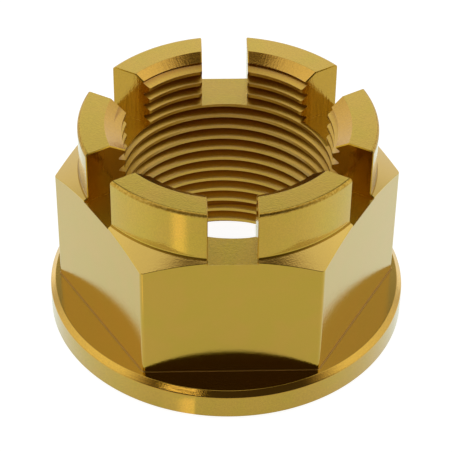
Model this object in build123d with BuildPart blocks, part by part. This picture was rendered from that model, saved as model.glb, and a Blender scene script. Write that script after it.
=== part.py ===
from build123d import *
from math import cos, hypot, radians, sqrt, tan
import os

# Castellated hexagon flange nut for a wheel axle, turned and milled from one bar of metal.
# Millimetres. The nut stands on its flange, the axis is Z, and the origin is the middle of
# the bore where it opens through the underside. Slots face -Y and +Y, and the hexagon has
# corners on -X and +X.

# Thread: the bore is as wide as the crests of a fine metric thread, which lie inside its
# outer diameter by five eighths of the height of a sharp 60 degree thread
thread_diameter = 24.0
thread_pitch = 1.5
thread_depth = 5 / 8 * thread_pitch * sqrt(3) / 2

# Countersinks at both ends of the bore, measured past the thread's outer diameter
countersink_margin = 0.95
countersink_angle = 110.0

# Hexagon that the spanner grips
side_count = 6
across_flats = 32.0
hexagon_corner_radius = 0.5
hexagon_corner_height = 17.1
hexagon_chamfer_angle = 30.0
hexagon_foot_radius = 0.2

# Round flange under the hexagon
flange_land = 1.05
flange_thickness = 3.5
flange_top_chamfer = 0.55
flange_bottom_chamfer = 0.25

# Collar above the hexagon
overall_height = 24.3
collar_inset = 0.22
collar_edge_radius = 0.3
collar_foot_radius = 0.22

# Slots that make the collar a crown, one over the middle of each flat. Their floors lie a
# little under the top of the flats, so that they run out through them.
slot_width = 5.0
slot_runout = 0.28
slot_edge_chamfer = 0.1

# Sizes that follow from the ones above
bore_radius = thread_diameter / 2 - thread_depth
countersink_radius = thread_diameter / 2 + countersink_margin
countersink_depth = (countersink_radius - bore_radius) / tan(radians(countersink_angle / 2))
flat_radius = across_flats / 2
corner_radius = flat_radius / cos(radians(180 / side_count))
flange_radius = corner_radius + flange_land
collar_radius = flat_radius - collar_inset


def chamfer_cone_height(radius):
    """Height of the hexagon's top chamfer, a cone about the axis, at a distance from it."""
    return hexagon_corner_height + (corner_radius - radius) * tan(radians(hexagon_chamfer_angle))


# Slots' floors, and the height at which their walls meet the top edge of a flat
slot_floor = chamfer_cone_height(flat_radius) - slot_runout
slot_mouth_height = chamfer_cone_height(hypot(flat_radius, slot_width / 2))

with BuildPart() as axle_nut:
    # Flange disc
    with BuildSketch(Plane.XY):
        Circle(flange_radius)
    extrude(amount=flange_thickness)
    chamfer(axle_nut.edges().sort_by(Axis.Z)[-1], flange_top_chamfer)
    chamfer(axle_nut.edges().sort_by(Axis.Z)[0], flange_bottom_chamfer)

    # Hexagon with rounded corners, tall enough for its chamfer to be cut from it
    with BuildSketch(Plane.XY.offset(flange_thickness)):
        RegularPolygon(flat_radius, side_count, major_radius=False)
        fillet(vertices(), hexagon_corner_radius)
    extrude(amount=chamfer_cone_height(collar_radius) - flange_thickness)
    foot = axle_nut.edges().filter_by_position(Axis.Z, flange_thickness, flange_thickness)
    foot = foot.filter_by(lambda edge: edge.distance_to((0, 0, flange_thickness)) < corner_radius)
    fillet(foot, hexagon_foot_radius)

    # Cone that takes the hexagon's top corners off
    with BuildSketch(Plane.XZ):
        with BuildLine():
            Polyline(
                (collar_radius, chamfer_cone_height(collar_radius)),
                (flange_radius, chamfer_cone_height(flange_radius)),
                (flange_radius, overall_height),
                (collar_radius, overall_height),
                close=True,
            )
        make_face()
    revolve(axis=Axis.Z, mode=Mode.SUBTRACT)

    # Collar, rounded at its top edge
    with BuildSketch(Plane.XY.offset(flange_thickness)):
        Circle(collar_radius)
    extrude(amount=overall_height - flange_thickness)
    fillet(axle_nut.edges().sort_by(Axis.Z)[-1], collar_edge_radius)

    # Fillet where the collar meets the cone
    foot = axle_nut.edges().filter_by(GeomType.CIRCLE).filter_by_position(
        Axis.Z, chamfer_cone_height(flat_radius), overall_height - 2 * collar_edge_radius
    )
    fillet(foot, collar_foot_radius)

    # Bore with a countersink at each end
    with BuildSketch(Plane.XZ):
        with BuildLine():
            Polyline(
                (0, 0),
                (countersink_radius, 0),
                (bore_radius, countersink_depth),
                (bore_radius, overall_height - countersink_depth),
                (countersink_radius, overall_height),
                (0, overall_height),
                close=True,
            )
        make_face()
    revolve(axis=Axis.Z, mode=Mode.SUBTRACT)

    # Slots milled through the collar by cutters that stand out above it
    with BuildSketch(Plane.XY.offset(slot_floor)):
        with PolarLocations(corner_radius / 2, side_count, start_angle=90):
            Rectangle(corner_radius, slot_width)
    extrude(amount=overall_height, mode=Mode.SUBTRACT)

    # Burrs taken off the slots' walls, all round above the flats
    rims = axle_nut.edges(Select.NEW).filter_by(lambda edge: edge.center().Z > slot_mouth_height)
    chamfer(rims, slot_edge_chamfer)

axle_nut.part.label = "axle_nut"

os.makedirs("parts", exist_ok=True)
export_step(axle_nut.part, "parts/axle_nut.step")
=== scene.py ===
from math import atan, cos, degrees, hypot, pi, radians, sin, sqrt, tan
from types import SimpleNamespace

import bmesh
import bpy
from mathutils import Matrix, Vector


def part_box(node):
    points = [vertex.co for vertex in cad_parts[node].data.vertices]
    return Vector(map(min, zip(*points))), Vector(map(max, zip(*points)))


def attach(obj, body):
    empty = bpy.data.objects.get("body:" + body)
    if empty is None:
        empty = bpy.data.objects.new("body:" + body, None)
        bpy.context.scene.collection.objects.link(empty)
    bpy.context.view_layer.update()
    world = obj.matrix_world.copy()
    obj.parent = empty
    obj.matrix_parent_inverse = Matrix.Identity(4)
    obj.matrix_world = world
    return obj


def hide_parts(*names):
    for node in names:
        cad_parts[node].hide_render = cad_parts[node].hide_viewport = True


# Looks of the axle nut: one mesh with the fine thread cut into it, its metal, a pale table and
# soft light. Shapes are worked out in millimetres, as in the part's source, and end in metres.
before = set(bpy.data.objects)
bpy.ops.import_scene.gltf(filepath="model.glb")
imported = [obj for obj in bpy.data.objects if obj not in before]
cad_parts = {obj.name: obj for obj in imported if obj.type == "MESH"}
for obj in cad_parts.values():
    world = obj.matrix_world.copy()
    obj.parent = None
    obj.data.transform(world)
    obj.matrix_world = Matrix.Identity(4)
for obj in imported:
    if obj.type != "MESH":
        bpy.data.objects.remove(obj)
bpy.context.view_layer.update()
MM = 0.001

# Overall size, from the frame
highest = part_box("axle_nut")[1]
overall_height = highest.z / MM
flange_radius = highest.x / MM

# Thread. Its crests stand at the bore's radius, and one of them has its height a quarter of a
# turn on from +X.
thread_diameter = 24.0
thread_pitch = 1.5
thread_depth = 5 / 8 * thread_pitch * sqrt(3) / 2
thread_crest_half = thread_pitch / 8
thread_root_half = thread_pitch / 16
thread_crest_height = 1.6
thread_crest_turn = 0.25
thread_segments = 240
bore_radius = thread_diameter / 2 - thread_depth

# Countersinks, and the plain bore inside the crests that they first run down to
countersink_margin = 0.95
countersink_angle = 110.0
countersink_slope = tan(radians(countersink_angle / 2))
countersink_radius = thread_diameter / 2 + countersink_margin
countersink_depth = (countersink_radius - bore_radius) / countersink_slope
core_inset = 0.8
core_radius = bore_radius - core_inset
core_countersink_depth = (
    countersink_depth * (countersink_radius - core_radius) / (countersink_radius - bore_radius)
)

# Hexagon. Seen from the axis, a rounded corner takes up its half angle on each side.
side_count = 6
across_flats = 32.0
flat_radius = across_flats / 2
half_side_angle = 180 / side_count
corner_radius = flat_radius / cos(radians(half_side_angle))
hexagon_corner_radius = 0.5
hexagon_corner_height = 17.1
hexagon_chamfer_angle = 30.0
hexagon_foot_radius = 0.12
half_flat_width = (flat_radius - hexagon_corner_radius) * tan(radians(half_side_angle))
corner_half_angle = half_side_angle - degrees(atan(half_flat_width / flat_radius))

# Flange
flange_thickness = 3.5
flange_top_chamfer = 0.55
flange_bottom_chamfer = 0.25
flange_corner_radius = 0.2

# Collar and slots
collar_inset = 0.22
collar_radius = flat_radius - collar_inset
collar_edge_radius = 0.36
collar_foot_radius = 0.35
slot_width = 5.0
slot_runout = 0.28
slot_edge_chamfer = 0.1

# Roundness of edges that are only deburred
edge_radius = 0.08

# Finish of the mesh: points closer than this are one, and edges sharper than this stay sharp
weld_distance = 0.001
shading_margin = 0.02
sharp_angle = 31.0

# Reflectance of the dyed metal on each surface, as linear light
gold = (0.545, 0.372, 0.015)
gold_thin = (0.572, 0.364, 0.022)
flange_gold = (0.485, 0.29, 0.012)
cone_gold = (0.575, 0.378, 0.06)
chamfer_gold = (0.57, 0.325, 0.018)
slot_gold = (0.525, 0.305, 0.018)
sunk_gold = (0.572, 0.322, 0.036)
rim_gold = (0.56, 0.36, 0.06)
# The darker brown speckled into the collar's rim is a painted dark reflection.
rim_painted_reflection = (0.4, 0.22, 0.02)
thread_gold = (0.605, 0.372, 0.045)
# The darker colour towards the thread's roots is painted shade.
painted_root_shade = (0.42, 0.2, 0.015)
bare = (0.7, 0.52, 0.2)
# The two dark browns below are painted shade in the creases at the collar's foot and the hexagon's
# foot.
painted_crease_shade = (0.24, 0.1, 0.01)
painted_foot_shade = (0.27, 0.12, 0.035)

# How much of a colour covers its surface, and how the dye and the speckle change into each other
bare_share = 0.6
crease_shade_share = 0.7
foot_shade_share = 0.8
dye_patches = 0.35
dye_change = 0.2
rim_speckle = 4.0
rim_change = 0.12
root_start = 0.1
turned_speckle = 0.38
milled_speckle = 0.12

# Roughness of the metal, and the clear oxide over it with how much of that each surface lacks
metal_roughness = 0.12
rough_patches = 0.08
thread_roughness = 0.34
floor_roughness = 0.26
edge_roughness = 0.34
sunk_roughness = 0.17
wear_roughness = 0.1
oxide_roughness = 0.08
oxide_ior = 1.46
edge_lack = 0.85
sunk_lack = 0.3
thread_lack = 0.3
wall_lack = 0.25

# Tool marks and grain: how many to the millimetre, or to the radian round the axis, and how high
# they stand in millimetres
turned_marks = 6.0
turned_marks_round = 3.0
turned_mark_height = 0.0028
milled_marks = 3.0
milled_marks_up = 0.5
milled_marks_round = 40.0
milled_mark_height = 0.014
chatter_marks = 45.0
chatter_height = 0.014
grain = 6.0
grain_height = 0.0065

# The flange's chamfers have turned marks that are higher by this many times their height, and a
# slot's floor has this share of a wall's milled marks
chamfer_mark_gain = 3.0
floor_mark_share = 0.35

# Wear: how far it reaches from an edge, how sharp a bend it starts and ends at, and its patches
wear_reach = 0.12
wear_bend = (0.03, 0.2)
wear_patches = 1.6
wear_patch_change = (-0.05, 0.15)
wear_least = 0.1

# How surfaces are told apart: how far a point may be from its surface, in millimetres, and how
# much the surface faces up, or sideways round the axis, from 0 to 1
tolerance = 0.02
level_tolerance = 0.01
root_tolerance = 0.03
flat_tolerance = 0.05
crease_reach = 0.1
level_up = 0.9
leaning_up = (0.04, 0.97)
cone_up = cos(radians(hexagon_chamfer_angle))
cone_up_tolerance = 0.03
collar_foot_up = (0.04, 0.85)
collar_foot_sideways = 0.3
wall_sideways = 0.6
slot_rim_sideways = (0.56, 0.92)

# Table, seen by the metal as a glowing board, whose glow is dimmer in front of the nut: painted shade.
# It lies a hair below the nut's underside, so that the two don't share a plane.
table_size = 10.0
table_drop = 0.02
table_white = 0.3
table_glow_front = 0.55
table_glow_side = 0.69
table_glow_change = (12, 74)
table_tint_change = (30, 74)
table_side_tint = (0.92, 0.98, 0.86)
table_roughness = 0.08
table_shade = 0.25
table_clear = 0.93

# Two wedges of painted light on the table, standing for light that the nut throws on it, one by its rim
# and one farther out. Each has a point, the azimuths about it between which it grows and fades, and its
# reach from there.
painted_wedge_colour = (0.47, 0.33, 0.2)
rim_wedge = {"x": -1.06, "y": -11.66, "edges": (-37, -26, -22, -19.5), "reach": (6, 7, 10.4, 10.8)}
far_wedge = {"x": -0.75, "y": -9.26, "edges": (-48, -41, -37, -31), "reach": (22, 26, 40, 46)}

# Tent round the nut, by azimuth and elevation in degrees. Its opening is wider higher up and is
# closed at the top, and the dark that shows in it is warm.
opening_azimuth = 3
opening_widening = (38, 62)
opening_half_widths = (60, 73)
opening_soft = 14
opening_top = (70, 86)
opening_darkness = 0.935
opening_warmth = (1, 0.74, 0.5)
opening_warm_change = (25, 40)

# The back of the tent is dimmer, its side walls are brighter, and a dim seam runs up each side
back_azimuth = 180
back_half_width = (30, 60)
back_low = (35.5, 46)
back_high = (48, 60)
back_dimming = 0.85
wall_azimuth = 90
wall_half_width = (15, 40)
wall_middle = 36
wall_half_height = (8, 26)
wall_gain = 0.22
seam_azimuth = 127
seam_half_width = (0, 14)
seam_top = (25, 40)
seam_dimming = 0.22

# Strip light that the photograph shows mirrored in the rim and the collar. It faces a point on
# the nut's axis, and its sizes are in metres.
strip_azimuth = -31
strip_elevation = 43
strip_distance = 1.6
strip_target_height = 0.012
strip_length = 0.5
strip_width = 0.15
strip_strength = 1.8
strip_colour = (1, 0.9, 0.72)

# Camera, from the edges of the nut in the photograph. It aims at a height on the nut's axis, a
# little to the left.
camera_azimuth = -2.232
camera_elevation = 39.949
camera_distance = 206.688
camera_aim_left = 0.093
camera_aim_height = 9.927
camera_lens_in_image_widths = 4.1815
camera_roll = 0.747
camera_clip_start = 0.01


def chamfer_cone_height(radius):
    """Height of the cone that takes the hexagon's corners off, at a distance from the axis."""
    return hexagon_corner_height + (corner_radius - radius) * tan(radians(hexagon_chamfer_angle))


slot_floor_height = chamfer_cone_height(flat_radius) - slot_runout


def hexagon_radius(angle):
    """Distance from the axis to the hexagon, with its rounded corners, at an angle in degrees."""
    from_corner = abs((angle + half_side_angle) % (2 * half_side_angle) - half_side_angle)
    if from_corner > corner_half_angle:
        return flat_radius / cos(radians(half_side_angle - from_corner))
    centre = (flat_radius - hexagon_corner_radius) / cos(radians(half_side_angle))
    across = centre * sin(radians(from_corner))
    return centre * cos(radians(from_corner)) + sqrt(hexagon_corner_radius**2 - across**2)


def rounded(corners, margin=0):
    """Points of an outline whose corners, given as (r, z, radius, segments), are rounded. With
    a margin, a point that far beside each arc keeps the straight runs flat in the shading."""
    points = []
    for i, (r, z, radius, segments) in enumerate(corners):
        if radius == 0:
            points.append((r, z))
            continue
        here = Vector((r, z))
        before = (Vector(corners[i - 1][:2]) - here).normalized()
        after = (Vector(corners[(i + 1) % len(corners)][:2]) - here).normalized()
        half_angle = before.angle(after) / 2
        reach = radius / tan(half_angle)
        middle = here + (before + after).normalized() * radius / sin(half_angle)
        start = here + before * reach - middle
        end = here + after * reach - middle
        turn = pi - 2 * half_angle
        if start.cross(end) < 0:
            turn = -turn
        if margin:
            points.append(tuple(here + before * (reach + margin)))
        for step in range(segments + 1):
            a = turn * step / segments
            x = start.x * cos(a) - start.y * sin(a)
            y = start.x * sin(a) + start.y * cos(a)
            points.append((middle.x + x, middle.y + y))
        if margin:
            points.append(tuple(here + after * (reach + margin)))
    return points


def crown_corners(hexagon, edge):
    """Outline from the hexagon's top edge up over the collar to the countersink, as corners for
    the function above."""
    return [
        (hexagon, chamfer_cone_height(hexagon), edge, 3),
        (collar_radius, chamfer_cone_height(collar_radius), collar_foot_radius, 6),
        (collar_radius, overall_height, collar_edge_radius, 8),
        (countersink_radius, overall_height, edge / 2, 2),
    ]


def body_outline(angle):
    """Closed section of the nut at an angle, with a plain bore inside the thread's crests."""
    hexagon = hexagon_radius(angle)
    return rounded(
        [
            (core_radius, core_countersink_depth, 0, 0),
            (countersink_radius, 0, edge_radius / 2, 2),
            (flange_radius - flange_bottom_chamfer, 0, edge_radius, 2),
            (flange_radius, flange_bottom_chamfer, edge_radius, 2),
            (flange_radius, flange_thickness - flange_top_chamfer, flange_corner_radius, 4),
            (flange_radius - flange_top_chamfer, flange_thickness, edge_radius, 2),
            (hexagon, flange_thickness, hexagon_foot_radius, 5),
            *crown_corners(hexagon, edge_radius),
            (core_radius, overall_height - core_countersink_depth, 0, 0),
        ],
        shading_margin,
    )


def new_object(name, vertices, faces):
    """An object in the scene from its vertices and faces, with all its faces turned outwards."""
    mesh = bpy.data.meshes.new(name)
    mesh.from_pydata(vertices, [], faces)
    mesh.validate()
    shape = bmesh.new()
    shape.from_mesh(mesh)
    bmesh.ops.recalc_face_normals(shape, faces=shape.faces)
    shape.to_mesh(mesh)
    shape.free()
    made = bpy.data.objects.new(name, mesh)
    bpy.context.scene.collection.objects.link(made)
    return made


def turned_body():
    """The nut before its slots and thread: its section carried round the axis."""
    flat_columns = 80
    corner_columns = 8
    half = corner_half_angle
    margin = degrees(shading_margin / corner_radius)
    angles = []
    for side in range(side_count):
        corner = 2 * half_side_angle * side
        angles += [corner + half * (2 * i / corner_columns - 1) for i in range(corner_columns + 1)]
        span = 2 * (half_side_angle - half - margin)
        angles += [corner + half + margin + span * i / flat_columns for i in range(flat_columns + 1)]
    vertices = []
    for angle in angles:
        a = radians(angle)
        vertices += [(r * cos(a), r * sin(a), z) for r, z in body_outline(angle)]
    rows = len(vertices) // len(angles)
    faces = []
    for i in range(len(angles)):
        j = (i + 1) % len(angles)
        for k in range(rows):
            m = (k + 1) % rows
            faces.append((i * rows + k, j * rows + k, j * rows + m, i * rows + m))
    return new_object("axle_nut_body", vertices, faces)


def thread_core():
    """The right-handed screw that the bore leaves room for, longer than the nut at both ends."""
    root_radius = thread_diameter / 2
    profile = [
        (bore_radius, -thread_crest_half),
        (bore_radius, thread_crest_half),
        (root_radius, thread_pitch / 2 - thread_root_half),
        (root_radius, thread_pitch / 2 + thread_root_half),
    ]
    turns_below = 2
    turns = int(overall_height / thread_pitch) + 2 * turns_below
    rows = turns * len(profile)
    vertices = []
    for i in range(thread_segments):
        turn = i / thread_segments
        a = 2 * pi * turn
        for k in range(rows):
            r, offset = profile[k % len(profile)]
            rise = k // len(profile) - turns_below + turn - thread_crest_turn
            z = thread_crest_height + thread_pitch * rise + offset
            vertices.append((r * cos(a), r * sin(a), z))
    faces = []
    for i in range(thread_segments):
        last = i == thread_segments - 1
        j = 0 if last else i + 1
        lift = len(profile) if last else 0
        for k in range(rows - 1):
            if k + 1 + lift < rows:
                a, b = i * rows + k, j * rows + k + lift
                faces.append((a, b, b + 1, a + 1))
    # Flat ends: each is a fan from the axis to the last row and the step where a turn closes
    lower = [i * rows for i in range(thread_segments)]
    lower += [k for k in range(len(profile), 0, -1)]
    upper = [i * rows + rows - 1 for i in range(thread_segments)]
    upper += [thread_segments * rows - 1 - k for k in range(1, len(profile) + 1)]
    for rim, turned in ((lower, True), (upper, False)):
        centre = len(vertices)
        vertices.append((0, 0, sum(vertices[v][2] for v in rim) / len(rim)))
        for here, there in zip(rim, rim[1:] + rim[:1]):
            faces.append((centre, there, here) if turned else (centre, here, there))
    return new_object("thread_core", vertices, faces)


def slot_outline():
    """Section of the crown in the plane of a slot's wall, as (distance along the slot, z)."""
    half_width = slot_width / 2
    hexagon = hypot(flat_radius, half_width)
    crown = rounded(
        [
            (hexagon, slot_floor_height, 0, 0),
            *crown_corners(hexagon, 0),
            (bore_radius, overall_height - countersink_depth, 0, 0),
            (bore_radius, slot_floor_height, 0, 0),
        ]
    )
    return [(sqrt(r * r - half_width**2), z) for r, z in crown]


def shifted(outline, distance):
    """An open outline moved to its outer side, with mitred corners and level ends."""
    moved = []
    for i, point in enumerate(outline):
        here = Vector(point)
        sides = []
        if i > 0:
            sides.append(here - Vector(outline[i - 1]))
        if i < len(outline) - 1:
            sides.append(Vector(outline[i + 1]) - here)
        normals = [Vector((side.y, -side.x)).normalized() for side in sides]
        total = sum(normals, Vector((0, 0)))
        if len(normals) == 2:
            total /= 1 + normals[0].dot(normals[1])
        moved.append(tuple(here + total * distance))
    return moved


def slot_cutters():
    """Six solids that take out the slots. Their sides lean out where they pass the crown's
    outline, which breaks the edges all round each wall."""
    stand_off = 0.06
    overshoot = 1
    outline = slot_outline()
    inner = shifted(outline, -slot_edge_chamfer)
    outer = shifted(outline, stand_off)
    bore_end = core_radius + stand_off
    flat_end = flat_radius + overshoot
    top = overall_height + overshoot
    half_width = slot_width / 2
    half_mouth = half_width + slot_edge_chamfer + stand_off
    count = len(outline)
    bottom = slot_floor_height
    corners = [(flat_end, bottom), (flat_end, top), (bore_end, top), (bore_end, bottom)]
    one_side = [(u, half_width, z) for u, z in inner]
    one_side += [(u, half_mouth, z) for u, z in outer + corners]
    size = len(one_side)
    side_faces = [list(range(count))]
    side_faces += [[i + 1, i, count + i, count + i + 1] for i in range(count - 1)]
    above_crown = [2 * count + 3] + list(range(2 * count - 1, count - 1, -1))
    side_faces.append(above_crown + [2 * count, 2 * count + 1, 2 * count + 2])
    floor_face = [2 * count, count, 0, count - 1, 2 * count - 1, 2 * count + 3]
    vertices = []
    faces = []
    for slot in range(side_count):
        a = radians(half_side_angle * (2 * slot + 1))
        base = len(vertices)
        for mirror in (1, -1):
            for u, v, z in one_side:
                w = v * mirror
                vertices.append((u * cos(a) - w * sin(a), u * sin(a) + w * cos(a), z))
        for face in side_faces:
            faces.append([base + v for v in reversed(face)])
            faces.append([base + size + v for v in face])
        faces.append([base + v for v in floor_face] + [base + size + v for v in reversed(floor_face)])
        for first in range(len(corners) - 1):
            here, there = 2 * count + first, 2 * count + first + 1
            faces.append([base + here, base + there, base + size + there, base + size + here])
    return new_object("slot_cutters", vertices, faces)


def apply_modifiers(piece):
    """Makes the piece's mesh what its modifiers show, and takes them off."""
    shaped = piece.evaluated_get(bpy.context.evaluated_depsgraph_get())
    piece.data = bpy.data.meshes.new_from_object(shaped)
    piece.modifiers.clear()


def cut(piece, cutter):
    """Takes the cutter out of the piece and deletes it."""
    step = piece.modifiers.new("cut", "BOOLEAN")
    step.operation = "DIFFERENCE"
    step.solver = "EXACT"
    step.object = cutter
    apply_modifiers(piece)
    bpy.data.objects.remove(cutter)


def make_nut():
    """The nut as one watertight mesh in metres, shaded smooth between its real edges."""
    made = turned_body()
    cut(made, slot_cutters())
    cut(made, thread_core())
    work = bmesh.new()
    work.from_mesh(made.data)
    bmesh.ops.remove_doubles(work, verts=work.verts, dist=weld_distance)
    bmesh.ops.scale(work, verts=work.verts, vec=(MM, MM, MM))
    work.to_mesh(made.data)
    work.free()
    made.data.shade_smooth()
    made.data.set_sharp_from_angle(angle=radians(sharp_angle))
    weigh = made.modifiers.new("weigh", "WEIGHTED_NORMAL")
    weigh.mode = "FACE_AREA"
    weigh.weight = 100
    weigh.keep_sharp = True
    apply_modifiers(made)
    return made


class Value:
    """What a shader works out at each point: a number, a vector or a colour. Arithmetic on a
    number adds the node that does it. A comparison is 1 where it holds and 0 elsewhere."""

    def __init__(self, socket):
        self.socket = socket

    def __abs__(self):
        return maths("ABSOLUTE", self)

    def __add__(self, other):
        return maths("ADD", self, other)

    def __radd__(self, other):
        return maths("ADD", other, self)

    def __sub__(self, other):
        return maths("SUBTRACT", self, other)

    def __rsub__(self, other):
        return maths("SUBTRACT", other, self)

    def __mul__(self, other):
        return maths("MULTIPLY", self, other)

    def __rmul__(self, other):
        return maths("MULTIPLY", other, self)

    def __truediv__(self, other):
        return maths("DIVIDE", self, other)

    def __gt__(self, other):
        return maths("GREATER_THAN", self, other)

    def __lt__(self, other):
        return maths("LESS_THAN", self, other)


def feed(socket, value):
    """Links a socket, or sets an unlinked one. A colour that is set is opaque."""
    if isinstance(value, Value):
        socket.id_data.links.new(value.socket, socket)
    elif socket.type == "RGBA":
        socket.default_value = (*value, 1)
    else:
        socket.default_value = value


def node(tree, kind, **values):
    """A new shader node. Values are its properties, or its inputs by name with _ for a space."""
    made = tree.nodes.new(kind)
    for name, value in values.items():
        if hasattr(made, name):
            setattr(made, name, value)
        else:
            feed(made.inputs[name.replace("_", " ")], value)
    return made


def output(tree, kind, name=0, **values):
    """One output of a new shader node, by its name or as the first."""
    return Value(node(tree, kind, **values).outputs[name])


def tree_of(*inputs):
    """The node tree that holds the first worked out value among some inputs."""
    return next(value.socket.id_data for value in inputs if isinstance(value, Value))


def maths(operation, *inputs):
    """The result of one operation on numbers."""
    made = node(tree_of(*inputs), "ShaderNodeMath", operation=operation)
    for socket, value in zip(made.inputs, inputs):
        feed(socket, value)
    return Value(made.outputs[0])


def largest(first, *others):
    """The largest of several numbers."""
    for other in others:
        first = maths("MAXIMUM", first, other)
    return first


def near(value, middle, reach):
    """1 where a number is within reach of the middle, and 0 elsewhere."""
    return abs(value - middle) < reach


def between(value, low, high):
    """1 where a number is between two others, and 0 elsewhere."""
    return (value > low) * (value < high)


def fade(value, change, low=0, high=1):
    """A smooth change from low to high while a number goes from the start to the end of change."""
    made = node(tree_of(value), "ShaderNodeMapRange", interpolation_type="SMOOTHSTEP")
    for socket, setting in zip(made.inputs, (value, *change, low, high)):
        feed(socket, setting)
    return Value(made.outputs[0])


def hump(value, middle, change, height):
    """A smooth hump: its height out to the start of change from the middle, nothing past its end."""
    return fade(abs(value - middle), change, height, 0)


def plateau(value, edges):
    """1 between the middle two of four edges, and 0 outside the outer two."""
    return fade(value, edges[:2]) * fade(value, edges[2:], 1, 0)


def vector(operation, first, *second):
    """The result of one operation on vectors. LENGTH and DOT_PRODUCT give a number."""
    made = node(tree_of(first, *second), "ShaderNodeVectorMath", operation=operation)
    for socket, value in zip(made.inputs, (first, *second)):
        feed(socket, value)
    return Value(made.outputs["Value" if operation in ("LENGTH", "DOT_PRODUCT") else "Vector"])


def scaled(first, factor):
    """A vector or a colour times a number."""
    made = node(tree_of(first, factor), "ShaderNodeVectorMath", operation="SCALE", Scale=factor)
    feed(made.inputs[0], first)
    return Value(made.outputs["Vector"])


def parts(place):
    """The three numbers of a vector."""
    return [Value(part) for part in node(tree_of(place), "ShaderNodeSeparateXYZ", Vector=place).outputs]


def combined(x, y, z):
    """A vector from its three numbers."""
    return output(tree_of(x, y, z), "ShaderNodeCombineXYZ", X=x, Y=y, Z=z)


def noise(place, detail=2.0, roughness=0.5):
    """Noise about 0, within about 0.3 of it."""
    settings = {"Scale": 1.0, "Detail": detail, "Roughness": roughness}
    return output(tree_of(place), "ShaderNodeTexNoise", Vector=place, **settings) - 0.5


def blend(share, first, second):
    """A colour from first to second by a share."""
    made = node(tree_of(share), "ShaderNodeMix", data_type="RGBA", Factor=share)
    for socket, colour in zip([s for s in made.inputs if s.type == "RGBA"], (first, second)):
        feed(socket, colour)
    return Value([s for s in made.outputs if s.type == "RGBA"][0])


def surfaces(place, facing):
    """Where a point is, in millimetres and radians round the axis, and masks that are 1 on one
    kind of surface each and 0 elsewhere."""
    x, y, z = parts(place)
    up = parts(facing)[2]
    flat_place = vector("MULTIPLY", place, (1, 1, 0))
    radius = vector("LENGTH", flat_place)
    at = SimpleNamespace(place=place, radius=radius, z=z, turn=maths("ARCTAN2", y, x))
    sideways = abs(parts(vector("CROSS_PRODUCT", flat_place, facing))[2]) / radius
    leaning = between(up, *leaning_up)

    on = SimpleNamespace()
    on.wall = sideways > wall_sideways
    on.slot_floor = near(z, slot_floor_height, level_tolerance) * (up > level_up)
    on.milled = largest(on.wall, on.slot_floor)
    half_height = overall_height / 2
    depth = half_height - abs(z - half_height)
    sunk_depth = (countersink_radius - radius) / countersink_slope
    inside = (depth > sunk_depth + tolerance) * (radius < thread_diameter / 2 + root_tolerance)
    on.thread = inside * (1 - on.milled)
    on.countersink = (radius < countersink_radius) * (1 - on.thread) * (1 - on.milled)

    on.flange_top = near(z, flange_thickness, tolerance) * (up > level_up)
    on.chamfer = leaning * (z < flange_thickness - level_tolerance)
    on.hexagon = (z > flange_thickness + level_tolerance) * (radius > flat_radius - flat_tolerance)
    on.cone = near(up, cone_up, cone_up_tolerance) * (radius > collar_radius)

    rim_z = overall_height - collar_edge_radius - tolerance
    rim_radius = collar_radius - collar_edge_radius - tolerance
    on.collar_rim = leaning * (z > rim_z) * (radius > rim_radius)
    slot_rim = between(sideways, *slot_rim_sideways)

    foot_band = between(z, flange_thickness, flange_thickness + hexagon_foot_radius)
    on.hexagon_foot = foot_band * leaning * (radius < corner_radius + crease_reach)
    collar_band = near(z, chamfer_cone_height(collar_radius), crease_reach)
    on.collar_foot = collar_band * between(up, *collar_foot_up) * (sideways < collar_foot_sideways)
    on.crease = largest(on.hexagon_foot, on.collar_foot)
    on.edge = largest(on.collar_rim, slot_rim, on.crease)
    return at, on


def tool_marks(at, on, grains):
    """Height in millimetres of what the tools left: rings where the nut is turned, streaks up the
    slots' walls and across their floors, chatter in the countersinks, and a fine grain."""
    rings = combined(at.radius * turned_marks, at.z * turned_marks, at.turn * turned_marks_round)
    turned = noise(rings, detail=3) * (turned_mark_height * (1 - on.milled))
    turned = turned * (1 + on.chamfer * chamfer_mark_gain)
    streaks = combined(at.radius * milled_marks, at.turn * milled_marks_round, at.z * milled_marks_up)
    cut_marks = largest(on.wall, on.slot_floor * floor_mark_share)
    milled = noise(streaks, detail=3) * (cut_marks * milled_mark_height)
    ribs = combined(at.turn * chatter_marks, at.radius, 0)
    chatter = noise(ribs, detail=3) * (on.countersink * chatter_height)
    return turned + milled + grains * grain_height + chatter


def edge_wear(tree, on, patches):
    """How far the oxide is worn: along bent edges, in patches, and not in the creases."""
    bent = output(tree, "ShaderNodeBevel", samples=4, Radius=wear_reach * MM)
    straight = output(tree, "ShaderNodeNewGeometry", "Normal")
    bend = 1 - vector("DOT_PRODUCT", bent, straight)
    return fade(bend, wear_bend) * fade(patches, wear_patch_change, wear_least) * (1 - on.crease)


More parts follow.
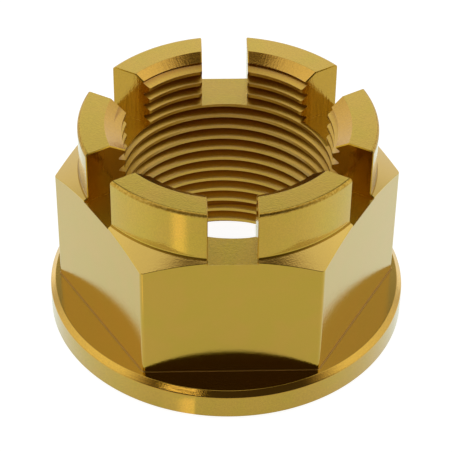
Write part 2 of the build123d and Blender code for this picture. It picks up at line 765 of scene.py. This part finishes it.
def colour_with_painted_shade(at, on, wear, grains):
    """Colour of the dyed metal, with painted shade. The dye is thicker in some places and differs from
    surface to surface, worn edges are bare, the collar's rim is speckled with a painted dark
    reflection, the thread's roots and the creases are darkened with painted shade, and a speckle lies
    over all of it."""
    dye = noise(scaled(at.place, dye_patches))
    colour = blend(fade(dye, (-dye_change, dye_change)), gold, gold_thin)
    speckle = noise(scaled(at.place, rim_speckle), detail=3, roughness=0.6)
    rim_with_painted_reflection = blend(fade(speckle, (-rim_change, rim_change)), rim_gold, rim_painted_reflection)
    to_root = fade(at.radius, (bore_radius + root_start, thread_diameter / 2))
    layers = [
        (on.flange_top, flange_gold),
        (on.cone, cone_gold),
        (on.chamfer, chamfer_gold),
        (on.wall, slot_gold),
        # The collar's rim is speckled with a painted dark reflection.
        (on.collar_rim, rim_with_painted_reflection),
        (on.countersink, sunk_gold),
        # The thread darkens towards its roots: painted shade.
        (on.thread, blend(to_root, thread_gold, painted_root_shade)),
        (wear * bare_share, bare),
        # The creases at the collar's foot and the hexagon's foot are darkened: painted shade.
        (on.collar_foot * crease_shade_share, painted_crease_shade),
        (on.hexagon_foot * foot_shade_share, painted_foot_shade),
    ]
    for share, layer in layers:
        colour = blend(share, colour, layer)
    speckling = fade(on.hexagon, (0, 1), turned_speckle, milled_speckle)
    return scaled(colour, 1 + grains * speckling)


def anodised_metal(name):
    """Polished metal under a clear gold-dyed oxide skin, with its tool marks and wear, painted shade in
    its creases and thread roots, and a painted dark reflection on the collar's rim. The oxide is
    thinner on edges, walls, countersinks and thread."""
    material = bpy.data.materials.new(name)
    material.use_nodes = True
    tree = material.node_tree
    texture = node(tree, "ShaderNodeTexCoord").outputs
    place = scaled(Value(texture["Object"]), 1 / MM)
    at, on = surfaces(place, Value(texture["Normal"]))
    grains = noise(scaled(place, grain))
    patches = noise(scaled(place, wear_patches), detail=4, roughness=0.6)
    wear = edge_wear(tree, on, patches)
    height = tool_marks(at, on, grains)
    bump = output(tree, "ShaderNodeBump", Strength=1.0, Distance=MM, Height=height)
    rough = largest(
        metal_roughness + patches * rough_patches,
        on.thread * thread_roughness,
        on.slot_floor * floor_roughness,
        on.edge * edge_roughness,
    )
    lack = largest(
        on.edge * edge_lack,
        on.countersink * sunk_lack,
        on.thread * thread_lack,
        on.wall * wall_lack,
    )
    shader = tree.nodes["Principled BSDF"]
    settings = {
        "Base Color": colour_with_painted_shade(at, on, wear, grains),
        "Metallic": 1,
        "Roughness": largest(rough + wear * wear_roughness, on.countersink * sunk_roughness),
        "Normal": bump,
        "Coat Weight": 1 - lack,
        "Coat Roughness": oxide_roughness,
        "Coat IOR": oxide_ior,
        "Coat Normal": bump,
    }
    for socket, value in settings.items():
        feed(shader.inputs[socket], value)
    return material


def azimuth_of(place):
    """Degrees round the nut of a point or direction: 0 is the camera's side."""
    x, y = parts(place)[:2]
    return maths("DEGREES", maths("ARCTAN2", x, y * -1))


def wedge(place, x, y, edges, reach):
    """How bright a wedge of painted light on the table is."""
    from_point = vector("SUBTRACT", scaled(place, 1 / MM), (x, y, 0))
    return plateau(azimuth_of(from_point), edges) * plateau(vector("LENGTH", from_point), reach)


def pale_table(name):
    """White to the camera apart from the nut's shadow. The metal sees a board that mirrors a little and
    glows, with painted shade in front where the glow is less, and the two wedges of painted light on
    it."""
    material = bpy.data.materials.new(name)
    material.use_nodes = True
    tree = material.node_tree
    place = output(tree, "ShaderNodeNewGeometry", "Position")
    across = abs(azimuth_of(place) - opening_azimuth)
    # The glow is dimmer in front of the nut than at its sides: painted shade.
    glow = fade(across, table_glow_change, table_glow_front, table_glow_side)
    tint = blend(fade(across, table_tint_change), (1, 1, 1), table_side_tint)
    # Painted light: the two wedges glow on the board.
    painted_light = scaled(painted_wedge_colour, wedge(place, **rim_wedge) + wedge(place, **far_wedge))
    board = tree.nodes["Principled BSDF"]
    feed(board.inputs["Base Color"], [table_white] * 3)
    feed(board.inputs["Roughness"], table_roughness)
    feed(board.inputs["Emission Color"], vector("ADD", scaled(tint, glow), painted_light))
    feed(board.inputs["Emission Strength"], 1)
    seen = node(tree, "ShaderNodeAddShader")
    feed(seen.inputs[0], output(tree, "ShaderNodeBsdfDiffuse", Color=[table_shade] * 3))
    feed(seen.inputs[1], output(tree, "ShaderNodeEmission", Strength=table_clear))
    either = node(tree, "ShaderNodeMixShader")
    feed(either.inputs[0], output(tree, "ShaderNodeLightPath", "Is Camera Ray"))
    feed(either.inputs[1], Value(board.outputs[0]))
    feed(either.inputs[2], Value(seen.outputs[0]))
    feed(tree.nodes["Material Output"].inputs["Surface"], Value(either.outputs[0]))
    return material


def emitter(name, strength, colour):
    """A stage material that only shines."""
    material = bpy.data.materials.new(name)
    material.use_nodes = True
    tree = material.node_tree
    tree.nodes.clear()
    light = output(tree, "ShaderNodeEmission", Strength=strength, Color=colour)
    node(tree, "ShaderNodeOutputMaterial", Surface=light)
    return material


def studio_world(name):
    """White panels all round and overhead, dimmer at the back, with a dark opening in front,
    where the camera looks in. To the camera all of it is white."""
    world = bpy.data.worlds.new(name)
    world.use_nodes = True
    tree = world.node_tree
    place = output(tree, "ShaderNodeTexCoord", "Generated")
    azimuth = azimuth_of(place)
    turned_away = abs(azimuth)
    elevation = maths("DEGREES", maths("ARCSINE", parts(place)[2]))
    half_width = fade(elevation, opening_widening, *opening_half_widths)
    opening_change = (half_width - opening_soft, half_width + opening_soft)
    opening = hump(azimuth, opening_azimuth, opening_change, opening_darkness)
    opening = opening * fade(elevation, opening_top, 1, 0)
    back = hump(turned_away, back_azimuth, back_half_width, back_dimming)
    back = back * fade(elevation, back_low) * fade(elevation, back_high, 1, 0)
    walls = hump(turned_away, wall_azimuth, wall_half_width, wall_gain)
    walls = walls * hump(elevation, wall_middle, wall_half_height, 1)
    seam = hump(turned_away, seam_azimuth, seam_half_width, seam_dimming)
    seam = seam * fade(elevation, seam_top, 1, 0)
    light = (1 + walls - seam) * (1 - largest(opening, back))
    seen = output(tree, "ShaderNodeLightPath", "Is Camera Ray")
    warm = opening * fade(elevation, opening_warm_change) * (1 - seen)
    background = tree.nodes["Background"]
    feed(background.inputs["Color"], blend(warm, (1, 1, 1), opening_warmth))
    feed(background.inputs["Strength"], largest(light, seen))
    return world


def direction(azimuth, elevation):
    """Unit vector from the nut: azimuth 0 is the side of the camera, and it grows towards +X."""
    a, e = radians(azimuth), radians(elevation)
    return Vector((sin(a) * cos(e), -cos(a) * cos(e), sin(e)))


def stage_rectangle(name, width, depth, material):
    """A flat rectangle about the origin, facing up."""
    x, y = width / 2, depth / 2
    made = new_object(name, [(-x, -y, 0), (x, -y, 0), (x, y, 0), (-x, y, 0)], [(0, 1, 2, 3)])
    made.data.materials.append(material)
    return made


def make_camera():
    """The camera where it stood for the photograph."""
    a = radians(camera_azimuth)
    aim = Vector((-camera_aim_left * cos(a), -camera_aim_left * sin(a), camera_aim_height)) * MM
    back = direction(camera_azimuth, camera_elevation)
    level = (-back).cross(Vector((0, 0, 1))).normalized()
    right = Matrix.Rotation(radians(camera_roll), 3, back) @ level
    up = back.cross(right)
    turned = Matrix((right, up, back)).transposed().to_4x4()
    data = bpy.data.cameras.new("camera")
    data.lens = camera_lens_in_image_widths * data.sensor_width
    data.clip_start = camera_clip_start
    made = bpy.data.objects.new("camera", data)
    made.matrix_world = Matrix.Translation(aim + back * (camera_distance * MM)) @ turned
    bpy.context.scene.collection.objects.link(made)
    return made


# Nut
nut = make_nut()
nut.name = "axle_nut_finished"
nut.data.materials.clear()
nut.data.materials.append(anodised_metal("gold_anodised_metal"))
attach(nut, "root")
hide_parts("axle_nut")

# Table
table = stage_rectangle("floor", table_size, table_size, pale_table("pale_table"))
table.location.z = -table_drop * MM

# Strip light, which the camera doesn't see
strip_shine = emitter("strip_light", strip_strength, strip_colour)
strip = stage_rectangle("strip_light", strip_length, strip_width, strip_shine)
strip_side = direction(strip_azimuth, strip_elevation)
strip.location = Vector((0, 0, strip_target_height)) + strip_side * strip_distance
strip.rotation_mode = "QUATERNION"
strip.rotation_quaternion = strip_side.to_track_quat("Z", "Y")
strip.visible_camera = False

bpy.context.scene.world = studio_world("studio")
bpy.context.scene.camera = make_camera()
bpy.context.scene.view_settings.view_transform = "Standard"
